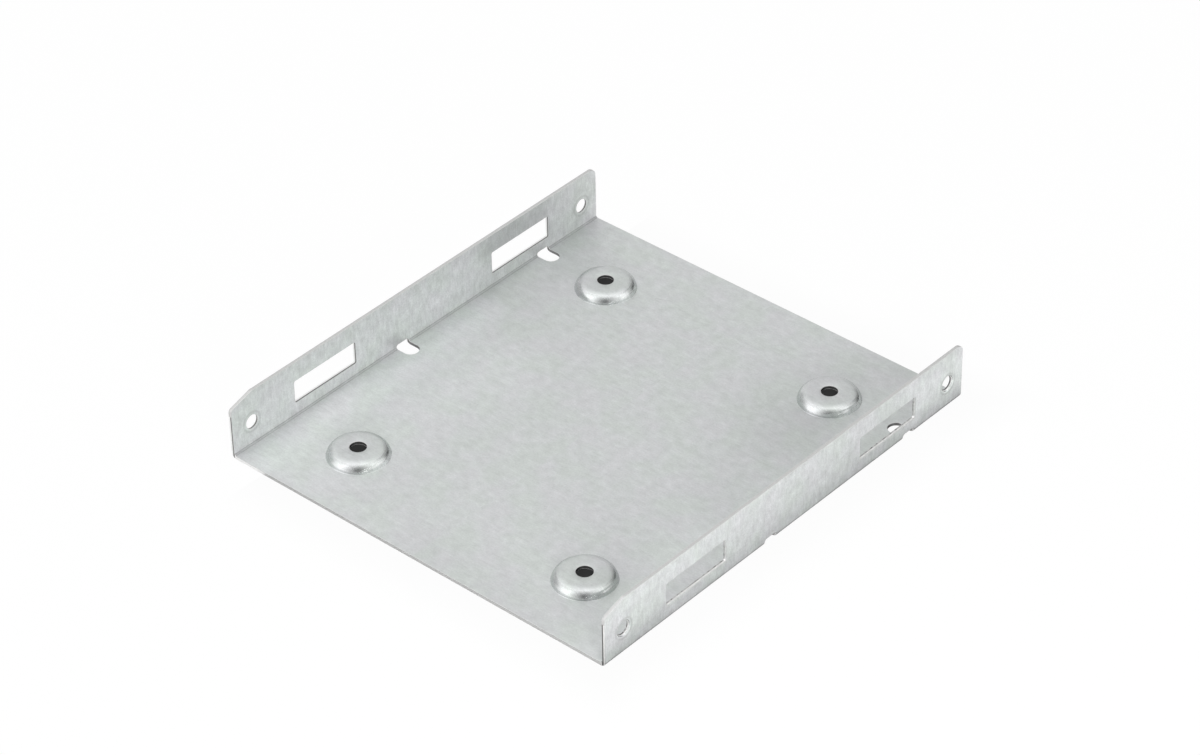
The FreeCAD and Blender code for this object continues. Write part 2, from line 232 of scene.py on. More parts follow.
def makeFlatSheetGroup():
    group, _, leave = newGroup("flatSheet", [], [("Place", vector)])
    parts = partsOf(group, "Object", (-800, 0))
    side = mathNode(group, "SIGN", (-600, 100), parts["X"])
    rise = mathNode(group, "MULTIPLY", (-400, 100), side, parts["Z"])
    across = mathNode(group, "ADD", (-200, 100), rise, parts["X"])
    flat = addNode(group, "ShaderNodeCombineXYZ", (0, 0))
    group.links.new(across, flat.inputs["X"])
    group.links.new(parts["Y"], flat.inputs["Y"])
    group.links.new(flat.outputs[0], leave["Place"])
    return group


# streaks left by the rolls: long across the sheet, narrow along it

grain = {
    "length": 22.0, "width": 0.8, "detail": 4.0, "rough": 0.62, "distortion": 0.35,
    "speckleScale": 2600.0, "speckleDetail": 2.0,
}


def makeGrainGroup(flatSheet):
    group, entry, leave = newGroup(
        "rollingGrain",
        [("Length", number, grain["length"]), ("Width", number, grain["width"]),
         ("Detail", number, grain["detail"])],
        [("Streak", number), ("Speckle", number)],
    )
    place = placeGroup(group, flatSheet, (-1000, 200))[0]
    scale = addNode(group, "ShaderNodeCombineXYZ", (-800, -150))
    for top, axis, size in ((-100, "X", "Length"), (-250, "Y", "Width")):
        group.links.new(mathNode(group, "DIVIDE", (-1000, top), 1 / mm, entry[size]),
                        scale.inputs[axis])
    stretched = vectorNode(group, "MULTIPLY", (-600, 0), place, scale.outputs[0])
    streak = noiseNode(group, (-400, 0), stretched, 1.0, entry["Detail"],
                       Roughness=grain["rough"], Distortion=grain["distortion"])
    speckle = noiseNode(group, (-400, -300), place, grain["speckleScale"], grain["speckleDetail"])
    group.links.new(streak, leave["Streak"])
    group.links.new(speckle, leave["Speckle"])
    return group


# where the dies worked the sheet: pressed walls are rubbed bright; bends are darker, stretched dull
# zinc with painted shade in their crease

dieWork = {
    "flat": 0.9995, "turned": 0.975, "oblique": 0.84,  # how square the surface stands
    "bendFrom": 48.6, "bendTop": 2.4, "raisedFrom": 2.3, "upright": 0.7,
}


def makeFormingGroup():
    group, entry, leave = newGroup(
        "formingMarks",
        [("Flat", number, dieWork["flat"]), ("Oblique", number, dieWork["oblique"]),
         ("BendFrom", number, dieWork["bendFrom"]), ("BendTop", number, dieWork["bendTop"])],
        [("Pressed", number), ("Bent", number), ("Raised", number), ("Upright", number)],
    )
    normal = partsOf(group, "Normal", (-800, 0))
    aside = mathNode(group, "ABSOLUTE", (-600, 100), normal["X"])
    upward = mathNode(group, "ABSOLUTE", (-600, -100), normal["Z"])
    square = mathNode(group, "MAXIMUM", (-400, 0), aside, upward)
    place = partsOf(group, "Object", (-800, -300))
    across = mathNode(group, "ABSOLUTE", (-600, -300), place["X"])
    across = mathNode(group, "MULTIPLY", (-400, -300), across, 1 / mm)
    rise = mathNode(group, "MULTIPLY", (-400, -450), place["Z"], 1 / mm)
    beside = mathNode(group, "GREATER_THAN", (-200, -300), across, entry["BendFrom"])
    low = mathNode(group, "LESS_THAN", (-200, -450), rise, entry["BendTop"])
    bend = mathNode(group, "MULTIPLY", (0, -350), beside, low)
    elsewhere = mathNode(group, "SUBTRACT", (200, -350), 1.0, bend)
    oblique = rangeNode(group, (-200, 0), square, entry["Oblique"], entry["Flat"], 1.0, 0.0)
    turned = rangeNode(group, (0, -150), square, dieWork["turned"], dieWork["flat"], 1.0, 0.0)
    high = mathNode(group, "GREATER_THAN", (-200, -600), rise, dieWork["raisedFrom"])
    inner = mathNode(group, "SUBTRACT", (0, -600), 1.0, beside)
    masks = {
        "Pressed": mathNode(group, "MULTIPLY", (400, 50), oblique, elsewhere),
        "Bent": mathNode(group, "MULTIPLY", (400, -150), turned, bend),
        "Raised": mathNode(group, "MULTIPLY", (200, -600), high, inner),
        "Upright": mathNode(group, "GREATER_THAN", (400, -300), aside, dieWork["upright"]),
    }
    for label, mask in masks.items():
        group.links.new(mask, leave[label])
    return group


# a painted shade ring round each drawn screw hole on both faces of the flange, standing in for the
# dimple's shading

holeRingShade = {
    "middle": 0.3, "reach": 50.8, "height": 6.35,  # the two holes lie a reach either side of middle
    "radius": 2.35, "width": 0.45, "upright": 0.9,
}


def makeHoleRingShadeGroup():
    group, entry, leave = newGroup(
        "paintedHoleRingShade",
        [("Middle", number, holeRingShade["middle"]), ("Reach", number, holeRingShade["reach"]),
         ("Height", number, holeRingShade["height"]), ("Radius", number, holeRingShade["radius"]),
         ("Width", number, holeRingShade["width"])],
        [("RingShade", number)],
    )
    place = partsOf(group, "Object", (-800, 0))
    along = mathNode(group, "MULTIPLY", (-600, 100), place["Y"], 1 / mm)
    along = mathNode(group, "SUBTRACT", (-550, 100), along, entry["Middle"])
    along = mathNode(group, "ABSOLUTE", (-500, 100), along)
    along = mathNode(group, "SUBTRACT", (-400, 100), along, entry["Reach"])
    rise = mathNode(group, "MULTIPLY", (-600, -100), place["Z"], 1 / mm)
    rise = mathNode(group, "SUBTRACT", (-400, -100), rise, entry["Height"])
    squares = [mathNode(group, "MULTIPLY", (-250, 0), part, part) for part in (along, rise)]
    away = mathNode(group, "SQRT", (50, 0), mathNode(group, "ADD", (-100, 0), *squares))
    gap = mathNode(group, "SUBTRACT", (200, 0), away, entry["Radius"])
    gap = mathNode(group, "ABSOLUTE", (350, 0), gap)
    close = rangeNode(group, (500, 0), gap, 0.0, entry["Width"], 1.0, 0.0)
    aside = mathNode(group, "ABSOLUTE", (-400, -450), partsOf(group, "Normal", (-800, -300))["X"])
    aside = mathNode(group, "GREATER_THAN", (-200, -450), aside, holeRingShade["upright"])
    group.links.new(mathNode(group, "MULTIPLY", (700, -100), close, aside), leave["RingShade"])
    return group


# a scratch between two places on the sheet, as a mask; when wide it places painted light and shade,
# and when small a painted glint

scratchAndPaintedLight = {"width": 0.2, "ceiling": 99.0}  # a ceiling higher than the part cuts nothing


def makeScratchAndPaintedLightGroup():
    group, entry, leave = newGroup(
        "scratchAndPaintedLight",
        [("From", vector, None), ("To", vector, None), ("Width", number, scratchAndPaintedLight["width"]),
         ("Ceiling", number, scratchAndPaintedLight["ceiling"])],
        [("MarkAndLight", number)],
    )
    coords = addNode(group, "ShaderNodeTexCoord", (-1200, 300))
    here = vectorNode(group, "SCALE", (-1000, 300), coords.outputs["Object"], scale=1 / mm)
    run = vectorNode(group, "SUBTRACT", (-800, 100), entry["To"], entry["From"])
    reach = vectorNode(group, "SUBTRACT", (-800, 300), here, entry["From"])
    along = vectorNode(group, "DOT_PRODUCT", (-600, 300), reach, run)
    whole = vectorNode(group, "DOT_PRODUCT", (-600, 100), run, run)
    share = addNode(group, "ShaderNodeClamp", (-250, 200))
    group.links.new(mathNode(group, "DIVIDE", (-400, 200), along, whole), share.inputs[0])
    foot = vectorNode(group, "SCALE", (-100, 100), run, scale=share.outputs[0])
    gap = vectorNode(group, "DISTANCE", (50, 200), reach, foot)
    close = rangeNode(group, (250, 200), gap, 0.0, entry["Width"], 1.0, 0.0)
    place = addNode(group, "ShaderNodeSeparateXYZ", (-800, 500))
    group.links.new(here, place.inputs[0])
    below = mathNode(group, "LESS_THAN", (250, 450), place.outputs["Z"], entry["Ceiling"])
    group.links.new(mathNode(group, "MULTIPLY", (450, 300), close, below), leave["MarkAndLight"])
    return group


galvanised = {
    "tintSize": 9.0, "tintDetail": 2.0,
    "tints": ((0.38, (0.577, 0.607, 0.590)), (0.50, (0.587, 0.607, 0.604)),
              (0.62, (0.596, 0.604, 0.612))),
    "mottleSize": 2.2, "mottleDetail": 3.0, "mottleTone": 0.12,
    "streaks": ((6.0, 0.6, 0.07), (2.2, 0.8, 0.12)), "streakDetail": 4.0,  # length, width, tone
    "speckleTone": 0.12, "flangeGrain": 1.7, "flangeMetallic": 0.8,
    "metallic": 0.65, "roughness": 0.42, "streakRoughness": 0.10, "bump": 0.02, "bumpDepth": 1.0,
    # bentTone darkens the bends: painted shade in their crease, with the stretched zinc's dullness
    "pressedMetallic": 0.95, "pressedRoughness": 0.20, "pressedTone": 1.12, "bentTone": 0.62,
    "raisedTone": 0.95, "ringShadeTone": 0.84, "baseTop": 1.0,
    "marksAndPaintedLight": (  # from, to, width, tone
        ((-38.2, -36.2, 0.8), (-36.3, -34.2, 0.8), 0.18, 0.87),  # scratches on the base
        ((9.5, -27.4, 0.8), (9.9, -27.2, 0.8), 0.30, 0.87),
        ((-20.0, 41.0, 0.8), (-16.5, 42.5, 0.8), 0.12, 0.87),
        ((-44.6, -54.0, 0.8), (-44.6, 14.0, 0.8), 8.0, 1.18),  # painted light: paler beside the left bend
        ((-38.0, -50.0, 0.8), (-32.0, -2.0, 0.8), 20.0, 1.08),  # painted light on towards the middle
        ((32.0, 28.0, 0.8), (40.0, 52.0, 0.8), 24.0, 0.90),  # painted shade: darker in the rear right corner
        ((0.0, -54.0, 0.8), (34.0, -54.0, 0.8), 13.0, 0.94),  # painted shade along the front edge
        ((-50.4, 23.0, 12.0), (-50.4, 36.0, 11.0), 8.0, 0.80),  # painted shade: darker over the rear window
        ((-50.4, -48.0, 7.0), (-50.4, 14.0, 7.0), 9.0, 1.07),  # painted light: paler on the left flange
        ((50.8, 40.0, 7.0), (50.8, 56.0, 6.0), 9.0, 1.18),  # painted light: paler on the right one at the rear
        ((50.8, -52.0, 2.0), (50.8, -40.0, 2.0), 4.5, 0.90),  # painted shade: darker low at the front
    ),
}


def makeGalvanised(name, groups):
    material, tree, shader = newFinish(name)
    forming = placeGroup(tree, groups["forming"], (-1400, 700))
    place = placeGroup(tree, groups["flatSheet"], (-1400, 300))["Place"]

    def fade(top, source, plain, full):
        # plain where the mask is 0 and full where it is 1
        change = mathNode(tree, "MULTIPLY", (-1150, top), source, full - plain)
        return mathNode(tree, "ADD", (-1000, top), change, plain)

    gain = fade(1300, forming["Upright"], 1.0, galvanised["flangeGrain"])

    def shade(source, amount, top):
        # a noise from 0 to 1 becomes a factor a little either side of 1, more so on the flanges
        swing = mathNode(tree, "SUBTRACT", (-1150, top), source, 0.5)
        swing = mathNode(tree, "MULTIPLY", (-1050, top), swing, gain)
        swing = mathNode(tree, "MULTIPLY", (-950, top), swing, 2 * amount)
        return mathNode(tree, "ADD", (-850, top), swing, 1.0)

    def noise(kind, top):
        return noiseNode(tree, (-1200, top), place, 1 / (galvanised[kind + "Size"] * mm),
                         galvanised[kind + "Detail"])

    tint = colourRamp(tree, (-900, 300), noise("tint", 300), galvanised["tints"])
    factors = [shade(noise("mottle", 100), galvanised["mottleTone"], 100)]
    for row, (length, width, amount) in enumerate(galvanised["streaks"]):
        top = -100 - 200 * row
        lines = placeGroup(tree, groups["grain"], (-1400, top), Length=length, Width=width,
                           Detail=galvanised["streakDetail"])
        factors.append(shade(lines["Streak"], amount, top))
    factors.append(shade(lines["Speckle"], galvanised["speckleTone"], -500))
    # scratches, then wide places of painted light and painted shade on the base and flanges
    for start, end, width, tone in galvanised["marksAndPaintedLight"]:
        onBase = start[2] < galvanised["baseTop"]  # such a mark stays off the bosses
        markAndLight = placeGroup(tree, groups["markAndLight"], (-1400, -700), From=start, To=end, Width=width,
                          Ceiling=galvanised["baseTop"] if onBase else scratchAndPaintedLight["ceiling"])
        factors.append(fade(-700, markAndLight["MarkAndLight"], 1.0, tone))
    # painted shade: a darker ring round each screw hole on the flanges
    ringShade = placeGroup(tree, groups["holeRingShade"], (-1400, -900))["RingShade"]
    factors.append(fade(-900, ringShade, 1.0, galvanised["ringShadeTone"]))
    # pressed walls brighter; bends darker, partly painted shade in their crease; boss tops a little
    # darker
    for top, mask in ((700, "pressed"), (850, "bent"), (950, "raised")):
        factors.append(fade(top, forming[mask.title()], 1.0, galvanised[mask + "Tone"]))
    factor = factors[0]
    for column, nextFactor in enumerate(factors[1:]):
        factor = mathNode(tree, "MULTIPLY", (-800 + 60 * column, -50), factor, nextFactor)
    colour = vectorNode(tree, "SCALE", (-200, 200), tint, scale=factor)
    tree.links.new(colour, shader.inputs["Base Color"])
    # the flanges are duller than the base
    metal = fade(1000, forming["Pressed"], galvanised["metallic"], galvanised["pressedMetallic"])
    dullness = fade(1450, forming["Upright"], 1.0, galvanised["flangeMetallic"])
    metal = mathNode(tree, "MULTIPLY", (-800, 1000), metal, dullness)
    tree.links.new(metal, shader.inputs["Metallic"])
    dull = fade(1150, forming["Pressed"], galvanised["roughness"], galvanised["pressedRoughness"])
    spread = mathNode(tree, "MULTIPLY", (-500, -300), lines["Streak"],
                      galvanised["streakRoughness"])
    tree.links.new(mathNode(tree, "ADD", (-300, -100), spread, dull), shader.inputs["Roughness"])
    addBump(tree, shader, lines["Streak"], galvanised["bump"], galvanised["bumpDepth"])
    return material


# sheared walls: a painted shadow line at the inner face and a painted highlight towards the outer

shearedWall = {
    "innerFace": 50.0, "outerFace": 50.8, "flangeFrom": 49.99,
    "level": 0.6, "bossFrom": 1.8, "slotFrom": 45.6, "slotLevel": 0.19, "endFrom": 50.0,
    "rimFrom": 10.5, "rimTone": 0.93,
    "brokenLightShare": 0.2, "brokenLightGrain": 0.9, "brokenLightDetail": 2.0, "brokenLightFrom": 0.42, "brokenLightTo": 0.66,
    "band": ((0.0, 0.06), (0.02, 0.14), (0.40, 0.18), (0.48, 1.20), (0.85, 1.45), (1.0, 1.0)),
    # painted glints: white spots at the lower rear corners of the right flange's windows
    "glints": (((50.4, 40.0, 4.1), (50.4, 40.2, 4.0)), ((50.4, -20.2, 4.1), (50.4, -20.0, 4.0))),
    "glintWidth": 0.55, "glintTone": 0.97,
}
bareSteel = {
    "length": 0.5, "width": 0.25, "detail": 3.0, "dark": (0.3, 0.90), "pale": (0.7, 1.06),
    "spread": 0.15, "bump": 0.05, "bumpDepth": 0.1,
}
shearedEdge = {"colour": (0.605, 0.606, 0.60), "metallic": 0.6, "roughness": 0.36}
rubbedCorner = {"colour": (0.64, 0.645, 0.64), "metallic": 0.8, "roughness": 0.28}


def makeThicknessGroup():
    # how deep a place lies between the faces of the sheet, and what sort of wall it is on
    group, _, leave = newGroup(
        "throughTheSheet", [], [("Depth", number), ("Rim", number), ("BrokenLight", number)])
    place = partsOf(group, "Object", (-800, 0))
    across = mathNode(group, "ABSOLUTE", (-600, 0), place["X"])
    along = mathNode(group, "ABSOLUTE", (-600, -450), place["Y"])

    def beyond(top, source, limit):
        return mathNode(group, "GREATER_THAN", (-400, top), source, shearedWall[limit] * mm)

    aside = rangeNode(group, (-200, 0), across, shearedWall["innerFace"] * mm,
                      shearedWall["outerFace"] * mm, 0.0, 1.0, kind="LINEAR")
    notEnd = mathNode(group, "LESS_THAN", (-400, -600), along, shearedWall["endFrom"] * mm)
    # off the flanges a wall has one depth: painted shade, darkest in a boss and dark in a slot, and
    # a painted highlight at the ends
    inSlot = mathNode(group, "MULTIPLY", (-300, -400), beyond(-300, across, "slotFrom"), notEnd)
    inSlot = mathNode(group, "MULTIPLY", (-200, -400), inSlot, shearedWall["slotLevel"])
    level = mathNode(group, "SUBTRACT", (-200, -250), shearedWall["level"],
                     beyond(-150, place["Z"], "bossFrom"))
    level = mathNode(group, "SUBTRACT", (-50, -250), level, inSlot)
    # the rim up on the flanges gets one plain, slightly darker tone, without the windows' painted
    # shadow line and highlight
    onRim = beyond(-750, place["Z"], "rimFrom")
    group.links.new(onRim, leave["Rim"])
    brokenLight = mathNode(group, "MULTIPLY", (-200, -900), beyond(-900, place["X"], "flangeFrom"), notEnd)
    group.links.new(brokenLight, leave["BrokenLight"])
    depth = addNode(group, "ShaderNodeMix", (50, 0))
    group.links.new(beyond(150, across, "flangeFrom"), depth.inputs["Factor"])
    group.links.new(level, depth.inputs["A"])
    group.links.new(mathNode(group, "MAXIMUM", (-50, 100), aside, onRim), depth.inputs["B"])
    group.links.new(depth.outputs[0], leave["Depth"])
    return group


def addPaintedWallBand(tree, groups, colour):
    wall = placeGroup(tree, groups["thickness"], (-800, 450))
    # the painted band: a dark shadow line at the inner face, a highlight towards the outer
    band = colourRamp(tree, (-600, 450), wall["Depth"],
                      [(position, (tone,) * 3) for position, tone in shearedWall["band"]])
    # in the right flange's windows the light along the wall is broken and weaker
    size = shearedWall["brokenLightGrain"]
    patches = placeGroup(tree, groups["grain"], (-1000, 750), Length=size, Width=size,
                         Detail=shearedWall["brokenLightDetail"])
    least = mathNode(tree, "MULTIPLY", (-800, 900), wall["BrokenLight"], shearedWall["brokenLightShare"] - 1)
    least = mathNode(tree, "ADD", (-700, 900), least, 1.0)
    share = rangeNode(tree, (-600, 750), patches["Streak"], shearedWall["brokenLightFrom"],
                      shearedWall["brokenLightTo"], least, 1.0, kind="LINEAR")
    brokenLight = addNode(tree, "ShaderNodeMix", (-450, 450), data_type="RGBA")
    plainSocket, bandSocket = brokenLight.inputs[6], brokenLight.inputs[7]  # a mix has an A and a B per kind
    tree.links.new(share, brokenLight.inputs["Factor"])
    plainSocket.default_value = (1, 1, 1, 1)
    tree.links.new(band, bandSocket)
    colour = vectorNode(tree, "MULTIPLY", (-300, 300), colour, brokenLight.outputs[2])
    dim = mathNode(tree, "MULTIPLY", (-450, 600), wall["Rim"], shearedWall["rimTone"] - 1)
    dim = mathNode(tree, "ADD", (-300, 600), dim, 1.0)
    colour = vectorNode(tree, "SCALE", (-150, 300), colour, scale=dim)
    # the painted glints, pushed up towards white
    for start, end in shearedWall["glints"]:
        glint = placeGroup(tree, groups["markAndLight"], (-1000, 1100), From=start, To=end,
                           Width=shearedWall["glintWidth"])["MarkAndLight"]
        glint = mathNode(tree, "MULTIPLY", (-800, 1100), glint, shearedWall["glintTone"])
        colour = vectorNode(tree, "MAXIMUM", (0, 300), colour, glint)
    return colour


def makeBareSteel(name, groups, finish, sheared):
    # sheared edges and rubbed corners: the same grain, on steel with little or no zinc
    material, tree, shader = newFinish(name)
    shader.inputs["Metallic"].default_value = finish["metallic"]
    lines = placeGroup(tree, groups["grain"], (-800, 0), Length=bareSteel["length"],
                       Width=bareSteel["width"], Detail=bareSteel["detail"])
    stops = [(position, tuple(tone * part for part in finish["colour"]))
             for position, tone in (bareSteel["dark"], bareSteel["pale"])]
    colour = colourRamp(tree, (-600, 200), lines["Streak"], stops)
    if sheared:
        colour = addPaintedWallBand(tree, groups, colour)
    tree.links.new(colour, shader.inputs["Base Color"])
    spread = mathNode(tree, "MULTIPLY", (-350, -100), lines["Speckle"], bareSteel["spread"])
    gloss = mathNode(tree, "ADD", (-200, -100), spread, finish["roughness"])
    tree.links.new(gloss, shader.inputs["Roughness"])
    addBump(tree, shader, lines["Streak"], bareSteel["bump"], bareSteel["bumpDepth"])
    return material


flatSheet = makeFlatSheetGroup()
groups = {
    "flatSheet": flatSheet, "grain": makeGrainGroup(flatSheet), "forming": makeFormingGroup(),
    "markAndLight": makeScratchAndPaintedLightGroup(), "holeRingShade": makeHoleRingShadeGroup(), "thickness": makeThicknessGroup(),
}
finishes = (
    makeGalvanised("galvanisedSheet", groups),
    makeBareSteel("shearedEdge", groups, shearedEdge, True),
    makeBareSteel("rubbedCorner", groups, rubbedCorner, False),
)
shearedSlot = 1
rubbedSlot = 2
print("finishes made")


# the right half of the bracket, which is mirrored at the end

channel = {
    "halfWidth": 50.8, "length": 112.0, "height": 13.9, "thickness": 0.8,
    "bendRadius": 1.3, "bendSteps": 12,
    "taperLength": 6.0, "taperDrop": 1.8, "cornerSteps": 8,
    "taperTopRound": 0.147, "taperFrontRound": 0.744, "rearRound": 1.8,
    "edgeBreak": 0.09, "edgeSteps": 2, "edgeAngle": 40.0, "smoothAngle": 38.0,
}
bossHole = {
    "across": 30.86, "rear": 37.25, "spacing": 76.6,
    "hole": 1.8, "flat": 4.45, "top": 2.8, "shoulder": 2.3, "toe": 0.1,
    "slope": 78.0, "foot": 6.8186, "toeSteps": 6, "shoulderSteps": 12, "around": 96,
    "patch": 9.0, "reach": 13.5,  # half a side of its patch, and a little past the corners
}
window = {
    "rear": 31.2, "spacing": 60.2, "length": 18.1, "height": 5.4, "sill": 3.9,
    "corner": 0.4, "cornerSteps": 5,
}
sideHole = {
    "rear": 51.1, "spacing": 101.6, "radius": 1.6, "height": 6.35,
    "rimRound": 0.6, "rimSteps": 7, "around": 64,
}
slot = {
    "across": 47.625, "rear": 38.32, "spacing": 44.45, "radius": 1.85, "top": 1.6,
    "corner": 0.6, "cornerSteps": 5, "around": 48,
}
clear = 2.0  # how far a cutter stands out past the sheet


def giveFinishes(piece):
    for finish in finishes:
        piece.data.materials.append(finish)


def foldHalfChannel():
    half, length, height = channel["halfWidth"], channel["length"], channel["height"]
    bpy.ops.mesh.primitive_cube_add(
        size=1, location=(half / 2 * mm, 0, height / 2 * mm),
        scale=(half * mm, length * mm, height * mm))
    piece = newestPiece("adapterSheet")
    giveFinishes(piece)
    edit(piece)
    pick("FACE", lambda face: face.normal.z > mainly or abs(face.normal.y) > mainly
         or face.normal.x < -mainly)
    bpy.ops.mesh.delete(type="FACE")
    pick("EDGE", edgeTest(lambda at: near(at.x, half) and near(at.z, 0)))
    bpy.ops.mesh.bevel(offset=channel["bendRadius"] * mm, segments=channel["bendSteps"],
                       profile=0.5, affect="EDGES", clamp_overlap=False)
    bpy.ops.mesh.select_all(action="SELECT")
    front = -length / 2
    drop, run = channel["taperDrop"], channel["taperLength"]
    bpy.ops.mesh.bisect(
        plane_co=(0, front * mm, (height - drop) * mm),
        plane_no=Vector((0, -drop, run)).normalized(), clear_outer=True, threshold=touching)
    for y, z, cut in (
            (front, height - drop, channel["taperFrontRound"]),
            (front + run, height, channel["taperTopRound"]),
            (-front, height, channel["rearRound"])):
        pick("VERT", lambda vert: near(vert.co.y / mm, y) and near(vert.co.z / mm, z))
        bpy.ops.mesh.bevel(offset=cut * mm, segments=channel["cornerSteps"], profile=0.5,
                           affect="VERTICES", clamp_overlap=False)
    backToObjects()
    return piece


def cutterFinish(piece):
    # what a cutter leaves in the sheet is a sheared wall
    giveFinishes(piece)
    for face in piece.data.polygons:
        face.material_index = shearedSlot


def makeWindowCutter():
    half = channel["halfWidth"]
    bpy.ops.mesh.primitive_cube_add(
        size=1,
        location=(half * mm, window["rear"] * mm, (window["sill"] + window["height"] / 2) * mm),
        scale=(2 * clear * mm, window["length"] * mm, window["height"] * mm))
    piece = newestPiece("windowCutter")
    edit(piece)
    pick("EDGE", lambda edge: abs((edge.verts[0].co - edge.verts[1].co).x) > clear * mm)
    bpy.ops.mesh.bevel(offset=window["corner"] * mm, segments=window["cornerSteps"],
                       profile=0.5, affect="EDGES")
    backToObjects()
    return piece


def makeSideHoleCutter():
    bpy.ops.mesh.primitive_cylinder_add(
        vertices=sideHole["around"], radius=sideHole["radius"] * mm, depth=2 * clear * mm,
        location=(channel["halfWidth"] * mm, sideHole["rear"] * mm, sideHole["height"] * mm),
        rotation=(0, math.radians(90), 0))
    return newestPiece("sideHoleCutter")


def makeSlotCutter():
    # half a round bar, drawn out past the flange, with its upper rim rounded
    x, y, top = slot["across"], slot["rear"], slot["top"]
    bpy.ops.mesh.primitive_cylinder_add(
        vertices=slot["around"], radius=slot["radius"] * mm, depth=(top + clear) * mm,
        location=(x * mm, y * mm, (top - clear) / 2 * mm))
    piece = newestPiece("slotCutter")
    edit(piece)
    bpy.ops.mesh.select_all(action="SELECT")
    bpy.ops.mesh.bisect(plane_co=(x * mm, 0, 0), plane_no=(1, 0, 0), clear_outer=True,
                        threshold=touching)
    pick("EDGE", edgeTest(lambda at: near(at.x, x, closely)))
    bpy.ops.mesh.extrude_region_move(
        TRANSFORM_OT_translate={"value": ((channel["halfWidth"] - x + clear) * mm, 0, 0)})
    bpy.ops.mesh.edge_face_add()
    bpy.ops.mesh.select_all(action="SELECT")
    bpy.ops.mesh.normals_make_consistent(inside=False)
    pick("EDGE", lambda edge: len(edge.link_faces) == 2
         and all(near(end.co.z / mm, top, closely) for end in edge.verts)
         and not all(near(face.normal.z, 1) for face in edge.link_faces)
         and not any(face.normal.x > mainly for face in edge.link_faces))
    bpy.ops.mesh.bevel(offset=slot["corner"] * mm, segments=slot["cornerSteps"], profile=0.5,
                       affect="EDGES")
    backToObjects()
    return piece


def cutOpenings(piece):
    cutters = []
    for cutter, spacing in (
            (makeWindowCutter(), window["spacing"]), (makeSideHoleCutter(), sideHole["spacing"]),
            (makeSlotCutter(), slot["spacing"])):
        cutters += [cutter, copyOf(cutter, (0, -spacing * mm, 0))]
    for cutter in cutters:
        cutterFinish(cutter)
    cutter = joined(cutters, "openingCutters")
    finishWith(piece, "BOOLEAN", operation="DIFFERENCE", solver="EXACT", object=cutter)
    choose(cutter)
    bpy.ops.object.delete()


def bossProfile():
    # radius and height of each ring of the underside, from the base in to the screw hole
    slope = math.radians(bossHole["slope"])
    sheet, foot, flat = channel["thickness"], bossHole["foot"], bossHole["flat"]
    toe = bossHole["toe"] + sheet
    shoulder = bossHole["shoulder"] - sheet
    ceiling = bossHole["top"] - sheet
    steps = bossHole["toeSteps"]
    rings = [(foot, 0)]
    for step in range(1, steps + 1):
        turn = slope * step / steps
        rings.append((foot - toe * math.sin(turn), toe * (1 - math.cos(turn))))
    steps = bossHole["shoulderSteps"]
    for step in range(steps, -1, -1):
        turn = slope * step / steps
        rings.append((flat + shoulder * math.sin(turn),
                      ceiling - shoulder * (1 - math.cos(turn))))
    return rings + [(0.5 * (flat + bossHole["hole"]), ceiling), (bossHole["hole"], ceiling)]


def pressBoss():
    x, y = bossHole["across"], bossHole["rear"]
    rings = bossProfile()
    radius, height = rings[0]
    bpy.ops.mesh.primitive_circle_add(
        vertices=bossHole["around"], radius=radius * mm, fill_type="NOTHING",
        location=(x * mm, y * mm, height * mm))
    piece = newestPiece("boss")
    giveFinishes(piece)
    edit(piece)
    bpy.ops.mesh.select_all(action="SELECT")
    for nextRadius, nextHeight in rings[1:]:
        bpy.ops.mesh.extrude_region_move(
            TRANSFORM_OT_translate={"value": (0, 0, (nextHeight - height) * mm)})
        shrink = nextRadius / radius
        bpy.ops.transform.resize(value=(shrink, shrink, 1),
                                 center_override=(x * mm, y * mm, nextHeight * mm))
        radius, height = nextRadius, nextHeight
    backToObjects()
    return piece


def setInBosses(piece):
    # each boss takes the place of a square patch of the base, and the corners left are filled
    boss = pressBoss()
    rows = (bossHole["rear"], bossHole["rear"] - bossHole["spacing"])
    half = bossHole["patch"]
    x = bossHole["across"]
    edit(piece)
    lines = [((at, 0, 0), (1, 0, 0)) for at in (x - half, x + half)]
    lines += [((0, row + side, 0), (0, 1, 0)) for row in rows for side in (-half, half)]
    for place, direction in lines:
        pick("FACE", lambda face: face.normal.z < -exactly)
        bpy.ops.mesh.bisect(plane_co=[part * mm for part in place], plane_no=direction,
                            threshold=touching)

    def isPatch(face):
        middle = face.calc_center_median() / mm
        return near(middle.x, x) and near(middle.z, 0) and any(
            near(middle.y, row) for row in rows)

    pick("FACE", isPatch)
    bpy.ops.mesh.delete(type="ONLY_FACE")
    frontBoss = copyOf(boss, (0, -bossHole["spacing"] * mm, 0))
    piece = joined([piece, boss, frontBoss], "adapterSheet")
    edit(piece)
    for row in rows:
        middle = Vector((x, row)) * mm

        def isBrink(edge):
            # the square's four sides, and the boss's foot
            if not edge.is_boundary or abs(edge.verts[0].co.z) > touching:
                return False
            return all((end.co.xy - middle).length < bossHole["reach"] * mm
                       for end in edge.verts)

        pick("EDGE", isBrink)
        bpy.ops.mesh.fill(use_beauty=True)
    bpy.ops.mesh.select_all(action="SELECT")
    bpy.ops.mesh.normals_make_consistent(inside=False)
    live = bmesh.from_edit_mesh(piece.data)
    if sum(face.normal.z * face.calc_area() for face in live.faces) > 0:
        bpy.ops.mesh.flip_normals()  # the skin so far is the underside, so it faces down
    backToObjects()
    return piece


